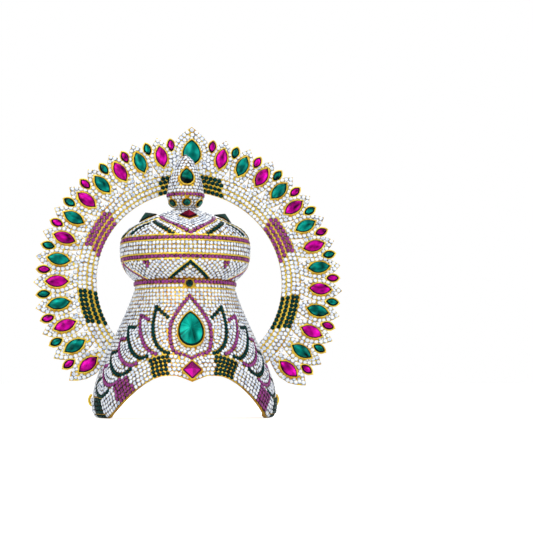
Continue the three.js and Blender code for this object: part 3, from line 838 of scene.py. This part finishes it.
# petals: a stone at the tip, a row inside the edge, smaller stones in the gaps, and a stud in the
# corner before each petal
EDGE_INSET, TIP_INSET, TIP_ROW_GAP, TIP_NET_GAP = 1.5, 2.4, 4.2, 4.6
NET_ROOT_R, PETAL_NET, PETAL_NET_W, PETAL_NET_MARGIN = 78, 0.4, 7, 0.15
STUD_R, STUD_ROOM = 79.9, 0.75
for index, middle in enumerate(PETAL_ANGLES):
    tip = PETAL_TIP_R + PETAL_TIP_GROWTH * (index % PETALS)
    edge = petal_edge(PETAL_ROOT_R, PETAL_ROOT_W, PETAL_BELLY_R, PETAL_BELLY_W, tip)
    skin = on_petal(middle)
    halo_bed.lay(*skin([0.0], [tip - TIP_INSET]), "clear")
    row = inner_row(edge, EDGE_INSET)
    row = row[row[:, 1] < tip - TIP_ROW_GAP]
    for side in (1, -1):
        lay_line(halo_bed, row * (side, 1), skin, PETAL_PITCH, "clear", room=LINE_ROOM)
    outs = np.arange(tip - TIP_NET_GAP, NET_ROOT_R, -PETAL_NET)
    across, out = net(np.arange(0, PETAL_NET_W, PETAL_NET), outs)
    inside = across <= np.interp(-out, -row[:, 1], row[:, 0]) + PETAL_NET_MARGIN
    for side in (1, -1):
        halo_bed.fill(*skin(side * across[inside], out[inside]), "clear")
    halo_bed.lay(*on_halo([beside(middle)], [STUD_R]), "clear", STUD_ROOM)

# top petal, a spade: rows inside its edge
SPADE_TIP_R, SPADE_TIP_INSET, SPADE_ROW, SPADE_DEPTH, SPADE_NET_GAP = 113.5, 2.5, 2.95, 14, 2
SPADE_ROOT_W, SPADE_BELLY_R, SPADE_BELLY_W, SPADE_NET_W = 15.2, 92, 14.3, 15
on_spade = on_petal(0.0)
spade_edge = petal_edge(PETAL_ROOT_R, SPADE_ROOT_W, SPADE_BELLY_R, SPADE_BELLY_W, SPADE_TIP_R)
halo_bed.lay(*on_spade([0.0], [SPADE_TIP_R - SPADE_TIP_INSET]), "clear")
for inset in np.arange(EDGE_INSET, SPADE_DEPTH, SPADE_ROW):
    row = inner_row(spade_edge, inset)
    for side in (1, -1):
        lay_line(halo_bed, row * (side, 1), on_spade, PETAL_PITCH, "clear", room=LINE_ROOM)
outs = np.arange(SPADE_TIP_R - SPADE_NET_GAP, NET_ROOT_R, -PETAL_NET)
across, out = net(np.arange(-SPADE_NET_W, SPADE_NET_W, PETAL_NET), outs)
inside = np.abs(across) <= np.interp(-out, -spade_edge[:, 1], spade_edge[:, 0]) - EDGE_INSET
halo_bed.fill(*on_spade(across[inside], out[inside]), "clear")
halo_bed.make("halo_stones")

# wavy gold wires between the band's rows
BAND_WIRES_R, BAND_WIRE_LIFT, BAND_WIRE_THICK, WAVE_DEPTH = (68.2, 71.75), 0.35, 0.32, 0.5
band_angles = np.linspace(-BAND_HALF_SPAN, BAND_HALF_SPAN, 700)
band_wires = []
for radius in BAND_WIRES_R:
    wave = WAVE_DEPTH * np.sin(np.radians(band_angles) * radius / BAND_PITCH * 2 * math.pi)
    points, normals = on_halo(band_angles, radius + wave)
    band_wires.append((points + BAND_WIRE_LIFT * normals, normals, False))
make_wires("halo_band_wires", band_wires, BAND_WIRE_THICK, gilt_wire)


# Petal stones: navettes of foiled glass, green and magenta by turns, domed to a long ridge and
# held in the gold rims of the flame petals. Their foil shows as soft patches of painted light and
# shade, and painted shade darkens them towards the rim.
JEWEL_ROUGHNESS, JEWEL_GLOSS, JEWEL_COAT, JEWEL_COAT_ROUGHNESS = 0.3, 0.02, 0.08, 0.02
# painted shade near a stone's edge: full within the first distance from it, gone beyond the second (mm)
PATCH_SCALE, RIM_SHADE_FULL, RIM_SHADE_END = 1.3, 0.55, 1.1


def make_foil_fire():
    """Painted light from the foil, from soft patches to crisp sectors round the middle, dimmed by
    painted shade near the stone's edge.
    """
    group, given, result = shader_group(
        "foil_fire", {"Sectors": 12.0, "Crispness": 0.5}, {"Fire": "Float"}
    )
    cut = add_node(group, "Attribute", attribute_name="cut").outputs["Vector"]
    edge = add_node(group, "Attribute", attribute_name="edge").outputs["Fac"]
    parts = add_node(group, "SeparateXYZ", {"Vector": cut}).outputs
    angle = add_math(group, "ARCTAN2", parts["Y"], parts["X"])
    turns = add_math(group, "MULTIPLY", angle, 1 / (2 * math.pi))
    sector = add_math(group, "FLOOR", add_math(group, "MULTIPLY", turns, given["Sectors"]))
    cell = add_node(group, "CombineXYZ", {"X": sector, "Y": parts["Z"]}).outputs["Vector"]
    crisp = add_node(group, "TexWhiteNoise", {"Vector": cell}, noise_dimensions="2D")
    soft = add_node(group, "TexNoise", {"Vector": cut, "Scale": PATCH_SCALE, "Detail": 1.0})
    blend = {"Factor": given["Crispness"], "A": soft.outputs["Fac"], "B": crisp.outputs["Value"]}
    fire = add_node(group, "Mix", blend, data_type="FLOAT").outputs["Result"]
    # painted shadow of the gold rim along the stone's edge
    rim_shade = {"Value": edge, "From Min": RIM_SHADE_FULL, "From Max": RIM_SHADE_END}
    clear = add_node(group, "MapRange", rim_shade).outputs["Result"]
    feed(group, result, {"Fire": add_math(group, "MULTIPLY", fire, clear)})
    return group


foil_fire = make_foil_fire()


def make_jewel(name, tones, stops, sectors, crispness, metallic=0.5):
    material, tree, shader = new_material(name)
    sparkle = {"Sectors": sectors, "Crispness": crispness}
    fire = add_node(tree, "Group", sparkle, node_tree=foil_fire)
    colour = colour_ramp(tree, fire.outputs["Fire"], stops, tones)
    feed(tree, shader, {"Base Color": colour, "Metallic": metallic, "Roughness": JEWEL_ROUGHNESS})
    feed(tree, shader, {"Specular IOR Level": JEWEL_GLOSS, "Coat Weight": JEWEL_COAT})
    feed(tree, shader, {"Coat Roughness": JEWEL_COAT_ROUGHNESS})
    return material


GREEN_TONES = (0.0, 0.006, 0.005), (0.0, 0.16, 0.13), (0.002, 0.40, 0.32)
MAGENTA_TONES = (0.02, 0.0, 0.012), (0.46, 0.001, 0.24), (0.90, 0.003, 0.54)
NAVETTE_STOPS = (0.25, 0.51, 0.74)
navette_glass = {
    "green": make_jewel("navette_green", GREEN_TONES, NAVETTE_STOPS, 12, 0.08),
    "magenta": make_jewel("navette_magenta", MAGENTA_TONES, NAVETTE_STOPS, 12, 0.08),
}


def navette_outline(length, width, steps=14):
    half, rise = length / 2, width / 2
    arc = (half**2 + rise**2) / (2 * rise)
    t = math.asin(half / arc) * np.linspace(-1, 1, steps, endpoint=False)
    side = np.column_stack([arc * np.cos(t) - arc + rise, arc * np.sin(t)])
    return np.concatenate([side, -side])


def stone_shape(outline, tiers, seed):
    """Corners and faces of a stone, its outline drawn in tier by tier (across, along, height),
    with each corner's cut coordinates and distance from the edge."""
    n = len(outline)
    corners = [np.column_stack([outline * tier[:2], np.full(n, tier[2])]) for tier in tiers]
    corners = np.concatenate(corners)
    faces = []
    for low in range(0, n * (len(tiers) - 1), n):
        for i in range(n):
            j = (i + 1) % n
            faces.append((low + i, low + j, low + n + j, low + n + i))
    faces.append(tuple(reversed(range(n))))
    faces.append(tuple(range(n * (len(tiers) - 1), n * len(tiers))))
    cut = corners[:, :2] / np.abs(outline).max(axis=0)
    cut = np.column_stack([cut, np.full(len(corners), seed)])
    inset = np.abs(outline[:, 0]).max() * (1 - np.array([tier[0] for tier in tiers]))
    return corners, faces, cut, np.repeat(inset, n)


def make_stones(name, stones, material, smooth_angle=35):
    """One piece of a stone or of like stones: each one's shape, and the frame it stands in as
    origin, right, up and out."""
    corners, faces, cuts, edges = [], [], [], []
    for (shape, members, cut, edge), (origin, right, up, out) in stones:
        first = sum(len(part) for part in corners)
        corners.append(origin + shape @ np.stack([right, up, out]))
        faces += [[first + i for i in face] for face in members]
        cuts.append(cut)
        edges.append(edge)
    piece = make_piece(name, np.concatenate(corners), faces, material, smooth_angle)
    mark(piece, "cut", "FLOAT_VECTOR", "POINT", np.concatenate(cuts))
    mark(piece, "edge", "FLOAT", "POINT", np.concatenate(edges))
    return piece


def halo_frame(angle, radius, lift):
    origin, ahead = on_halo([angle, angle], [radius, radius + 1.0])[0] + lift * HALO_OUT
    up = ahead - origin
    return origin, np.cross(up, HALO_OUT), up, HALO_OUT


NAVETTE_TIERS = [(1, 1, 0), (1, 1, 1.0), (0.90, 0.93, 1.75), (0.62, 0.74, 2.4)]
NAVETTE_TIERS += [(0.30, 0.52, 2.72), (0.02, 0.36, 2.8)]
NAVETTE_LENGTH, NAVETTE_WIDTH, NAVETTE_R, NAVETTE_SEED, STONE_GAP = 16.2, 9.0, 92.3, 1.7, 0.3
navette = navette_outline(NAVETTE_LENGTH, NAVETTE_WIDTH)
for index, angle in enumerate(PETAL_ANGLES):
    side, number = ("left", "right")[index // PETALS], index % PETALS + 1
    place = f"{side}_{number:02d}"
    node = f"halo_navette_{place}"
    colour = "magenta" if number % 2 else "green"
    shape = stone_shape(navette, NAVETTE_TIERS, index * NAVETTE_SEED)
    stones = [(shape, halo_frame(angle, NAVETTE_R, STONE_GAP))]
    piece = make_stones(f"petal_{place}_{colour}", stones, navette_glass[colour])
    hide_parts(node)


# Small navettes between the petals: the same glass, each in a narrow gold rim on a collet soldered
# to its neighbours.
SMALL_LENGTH, SMALL_WIDTH, SMALL_R, SMALL_GROWTH, SMALL_LIFT, SMALL_SEED = 8.8, 5.3, 99.9, 0.2, 0.02, 50
SMALL_TIERS = [(1, 1, 0), (1, 1, 0.85), (0.86, 0.88, 1.3), (0.45, 0.6, 1.6), (0.04, 0.35, 1.68)]
RIM_LONGER, RIM_WIDER, RIM_LIFT, RIM_WIRE_R = 1.2, 0.75, 0.5, 0.5
small_navette = navette_outline(SMALL_LENGTH, SMALL_WIDTH, 8)
rim_line = navette_outline(SMALL_LENGTH + RIM_LONGER, SMALL_WIDTH + RIM_WIDER, 10)
small_stones, small_rims = {"green": [], "magenta": []}, []
for index, middle in enumerate(PETAL_ANGLES):
    k = index % PETALS
    spot = halo_frame(beside(middle), SMALL_R + SMALL_GROWTH * k, SMALL_LIFT)
    shape = stone_shape(small_navette, SMALL_TIERS, SMALL_SEED + index)
    small_stones["green" if k % 2 else "magenta"].append((shape, spot))
    origin, right, up, out = spot
    points = origin + rim_line[:, :1] * right + rim_line[:, 1:] * up + RIM_LIFT * out
    small_rims.append((points, np.broadcast_to(out, points.shape), True))
for colour, stones in small_stones.items():
    make_stones(f"small_navettes_{colour}", stones, navette_glass[colour])
make_wires("small_navette_rims", small_rims, RIM_WIRE_R, gilt_wire)


# Pears: one on the halo's top petal, one at the brow and one on the finial, green foiled glass cut
# to a point with narrow facets round it, in gold rims. The finial's has a painted dark reflection
# over its lower part.
PEAR_WIDEST = 0.862  # half width of the curve below, before it is scaled


def pear_outline(length, width, steps):
    t = 2 * math.pi * np.arange(steps) / steps
    swell = width / 2 / PEAR_WIDEST
    return np.column_stack([-swell * np.sin(t) * np.sqrt(np.sin(t / 2)), length / 2 * np.cos(t)])


def cap_frame(azimuth, radius, z, pitch, lift):
    away = outward(azimuth)
    out = away * math.cos(pitch) + UP * math.sin(pitch)
    up = UP * math.cos(pitch) - away * math.sin(pitch)
    return CAP_AXIS + away * radius + UP * z + lift * out, np.cross(up, out), up, out


def bell_frame(z, relief, lift):
    return cap_frame(0, bell_radius(z) + relief, z, bell_pitch(z), lift)


def cut_tiers(edge, girdle, crown, cut):
    """A straight girdle up to its edge, then the crown: across, along, share of its height."""
    return [(1, 1, 0), (1, 1, edge), *[(x, y, girdle + share * crown) for x, y, share in cut]]


BRIGHT_TONES = (0.0, 0.02, 0.016), (0.0, 0.23, 0.175), (0.004, 0.52, 0.39)
DEEP_TONES = (0.0, 0.003, 0.004), (0.0, 0.09, 0.065), (0.001, 0.24, 0.17)
pear_glass = {
    "brow_pear": make_jewel("pear_bright_green", BRIGHT_TONES, (0.24, 0.47, 0.70), 40, 0.2),
    "halo_pear": make_jewel("pear_green", GREEN_TONES, (0.10, 0.46, 0.80), 20, 0.06),
    "finial_pear": make_jewel("pear_deep_green", DEEP_TONES, (0.15, 0.40, 0.70), 14, 0.25),
}
PEAR_CUT = [(0.93, 0.94, 0.1), (0.7, 0.7, 0.48), (0.4, 0.4, 0.82), (0.03, 0.03, 1)]
PEAR_EDGE, PEAR_SMOOTH_ANGLE = 0.75, 20
# a pear's painted dark reflection: none, slant of its upper edge, softness of that edge
NO_DARK_REFLECTION, DARK_REFLECTION_SLANT, DARK_REFLECTION_SOFTNESS = -40, 0.25, 0.2
BROW_PEAR_Z, BROW_PEAR_LIFT, HALO_PEAR_R = 60.4, 0.6, 94.2
FINIAL_PEAR_R, FINIAL_PEAR_Z, FINIAL_PEAR_PITCH, FINIAL_PEAR_LIFT = 10.2, 168, math.radians(19), 0.5
brow_place = bell_frame(BROW_PEAR_Z, 0, BROW_PEAR_LIFT)
spade_place = halo_frame(0, HALO_PEAR_R, STONE_GAP)
bud_place = cap_frame(0, FINIAL_PEAR_R, FINIAL_PEAR_Z, FINIAL_PEAR_PITCH, FINIAL_PEAR_LIFT)
PEARS = [  # node, length, width, facets round it, girdle, crown, seed of its fire, height of the painted dark reflection, place
    ("brow_pear", 25.2, 16.8, 40, 1.7, 2.1, 57.0, NO_DARK_REFLECTION, brow_place),
    ("halo_pear", 18.0, 13.0, 36, 1.6, 1.6, 385.25, NO_DARK_REFLECTION, spade_place),
    ("finial_pear", 11.6, 9.3, 28, 1.0, 1.1, 348.0, -6.4, bud_place),
]
for node, length, width, steps, girdle, crown, seed, dark_reflection_below, spot in PEARS:
    tiers = cut_tiers(girdle * PEAR_EDGE, girdle, crown, PEAR_CUT)
    corners, faces, cut, edge = stone_shape(pear_outline(length, width, steps), tiers, seed)
    # painted dark reflection below a slanting line, carried in the edge attribute together with the
    # painted rim shade
    above_dark_reflection = corners[:, 1] + DARK_REFLECTION_SLANT * corners[:, 0] - dark_reflection_below
    shape = corners, faces, cut, np.clip(DARK_REFLECTION_SOFTNESS * above_dark_reflection, 0, edge)
    glass = pear_glass[node]
    piece = make_stones(f"{node}_cut", [(shape, spot)], glass, PEAR_SMOOTH_ANGLE)
    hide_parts(node)


# Squares set on their points: magenta at the brow, crimson at the bulb's front and back, green at
# its sides, cut as low pyramids of foiled glass in gold cups.
SQUARE_EDGE = 0.95  # the rest of each side is cut off at the corners


def square_outline(side):
    half, corner = side / 2, side / 2 * SQUARE_EDGE
    t = np.radians(45) * (2 * np.arange(4) + 1)
    points = []
    for c, s in zip(np.cos(t), np.sin(t)):
        for y in (-corner, corner):
            points.append((half * c - y * s, half * s + y * c))
    return np.array(points)


SQUARE_TONES = {  # dark, body and bright colour, and metallic
    "green": ((0.0, 0.006, 0.006), (0.0, 0.034, 0.029), (0.001, 0.08, 0.065), 0.1),
    "magenta": ((0.12, 0.006, 0.06), (0.40, 0.01, 0.22), (0.9, 0.012, 0.5), 0.5),
    "crimson": ((0.03, 0.001, 0.008), (0.11, 0.003, 0.020), (0.40, 0.008, 0.045), 0.3),
}
SQUARE_STOPS = (0.28, 0.5, 0.68)
square_glass = {
    tone: make_jewel(f"square_{tone}", tones, SQUARE_STOPS, 4, 0.7, metallic)
    for tone, (*tones, metallic) in SQUARE_TONES.items()
}
SQUARE_CUT, SQUARE_SMOOTH_ANGLE = [(0.5, 0.5, 0.54), (0.04, 0.04, 1)], 5
BROW_SQUARE_Z, BROW_SQUARE_LIFT, BULB_SQUARE_LIFT = 33.4, 0.5, 0.6
BULB_SQUARE_R, BULB_SQUARE_Z, BULB_SQUARE_PITCH = 25.6, 138.6, math.radians(65)
BULB_CUTS = {"crimson": (8.4, 1.1, 3.2, "magenta_glass"), "green": (9.6, 1.1, 3.9, "green_glass")}
BULB_SQUARES = [("crimson", 714), ("green", 427), ("crimson", 714), ("green", 270)]
brow_spot = bell_frame(BROW_SQUARE_Z, BORDER_RELIEF, BROW_SQUARE_LIFT)
bulb_seat = BULB_SQUARE_R, BULB_SQUARE_Z, BULB_SQUARE_PITCH, BULB_SQUARE_LIFT
# node, tone, seed of its fire, place, side, girdle, crown and slot
squares = [("brow_square", "magenta", 121, brow_spot, 8.8, 1.2, 3.0, "magenta_glass")]
for quarter, (side, (tone, seed)) in enumerate(zip(BULB_SIDES, BULB_SQUARES)):
    spot = cap_frame(90 * quarter, *bulb_seat)
    squares.append((f"bulb_square_{side}", tone, seed, spot, *BULB_CUTS[tone]))
for node, tone, seed, spot, side, girdle, crown, slot in squares:
    tiers = cut_tiers(girdle, girdle, crown, SQUARE_CUT)
    stones = [(stone_shape(square_outline(side), tiers, seed), spot)]
    piece = make_stones(f"{node}_cut", stones, square_glass[tone], SQUARE_SMOOTH_ANGLE)
    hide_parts(node)


# Round green stones: one on the neck and six round the finial's bowl, faceted like the fine ones
# but larger, each in a gold cup.
EMERALD_TONES = (0.0, 0.004, 0.003), (0.0, 0.030, 0.024), (0.001, 0.25, 0.175)
foiled_emerald = make_foiled("foiled_emerald", EMERALD_TONES, 0.12, 0.1)
ROUND_R, ROUND_Z, ROUND_PITCH, ROUND_LIFT, ROUND_SEAT = 10.1, 150.8, math.radians(-39), 0.4, 0.12
NECK_ROUND_Z = 92.3
neck_frame = cap_frame(0, NECK_R + COLLAR_LIFT, NECK_ROUND_Z, 0, ROUND_LIFT)
rounds = [("neck_round", 5.2, -0.55, neck_frame)]  # node, diameter, change of light, place
for number, node in enumerate(FINIAL_ROUNDS):
    spot = cap_frame(60 * number, ROUND_R, ROUND_Z, ROUND_PITCH, ROUND_LIFT)
    rounds.append((node, 5.5, -0.3, spot))
for node, diameter, fire, (origin, _, _, out) in rounds:
    seat, facing = np.array([origin + ROUND_SEAT * diameter / 2 * out]), np.array([out])
    name = f"{node}_cut"
    piece = make_chatons(name, seat, facing, diameter, foiled_emerald, fire)
    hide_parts(node)


# Tie loops: staples of bent gilt wire, one soldered to the outside of each lappet, to tie the crown
# on by.
for side in ("left", "right"):
    nodes[f"tie_loop_{side}"].material_slots[0].material = gilt_wire


# Studio: pale floor and soft light; the camera stands a little to the left, low down, as in the
# photograph.
FLOOR_HALF, FLOOR_DROP, FLOOR_GLOW = 8, 0.0003, 0.75
WHITE = (1, 1, 1, 1)
floor_corners = [(x * FLOOR_HALF, y * FLOOR_HALF, 0) for x, y in ((-1, -1), (1, -1), (1, 1), (-1, 1))]
floor_mesh = bpy.data.meshes.new("floor")
floor_mesh.from_pydata(floor_corners, [], [(0, 1, 2, 3)])
floor_material, floor_tree, floor_shader = new_material("pale_floor")
floor_seen = add_node(floor_tree, "LightPath").outputs["Is Camera Ray"]
floor_glow = add_math(floor_tree, "MULTIPLY", floor_seen, FLOOR_GLOW)
feed(floor_tree, floor_shader, {"Base Color": (0.9, 0.9, 0.9, 1), "Roughness": 0.9})
feed(floor_tree, floor_shader, {"Emission Color": WHITE, "Emission Strength": floor_glow})
floor_mesh.materials.append(floor_material)
floor = bpy.data.objects.new("floor", floor_mesh)
floor.location.z = -FLOOR_DROP
bpy.context.scene.collection.objects.link(floor)

world = bpy.data.worlds.new("studio")
bpy.context.scene.world = world
world.use_nodes = True
sky = world.node_tree
room = sky.nodes["Background"]
feed(sky, room, {"Color": (0.96, 0.98, 1.0, 1), "Strength": 0.48})
backdrop = add_node(sky, "Background", {"Color": WHITE, "Strength": 1.0})
seen = add_node(sky, "LightPath").outputs["Is Camera Ray"]
views = {0: seen, 1: room.outputs["Background"], 2: backdrop.outputs["Background"]}
choose = add_node(sky, "MixShader", views)
feed(sky, sky.nodes["World Output"], {"Surface": choose.outputs["Shader"]})

LAMPS = [  # name, place, size and power
    ("key", (-0.55, -0.9, 0.85), 0.9, 6.6),
    ("fill", (0.8, -0.7, 0.5), 0.7, 2.9),
    ("top", (0.0, 0.1, 1.2), 0.8, 4.8),
    ("back", (0.2, 1.0, 0.8), 0.6, 3.0),
]
LAMP_AIM = Vector((0, 0, 0.1))
for name, place, size, power in LAMPS:
    light = bpy.data.lights.new(name, "AREA")
    light.size = size
    light.energy = power
    lamp = bpy.data.objects.new(name, light)
    lamp.location = place
    lamp.rotation_euler = (LAMP_AIM - lamp.location).to_track_quat("-Z", "Y").to_euler()
    bpy.context.scene.collection.objects.link(lamp)

CAMERA_PLACE = (CAP_AXIS + (-84.5, -1028.3, 27.0)) * MM
CAMERA_TURN, CAMERA_RISE, CAMERA_LENS = math.radians(-7.85), math.radians(94.4), 100.0
camera_data = bpy.data.cameras.new("camera")
camera_data.lens = CAMERA_LENS
camera = bpy.data.objects.new("camera", camera_data)
camera.location = CAMERA_PLACE
camera.rotation_euler = (CAMERA_RISE, 0, CAMERA_TURN)
bpy.context.scene.collection.objects.link(camera)
bpy.context.scene.camera = camera
bpy.context.scene.view_settings.view_transform = "Standard"
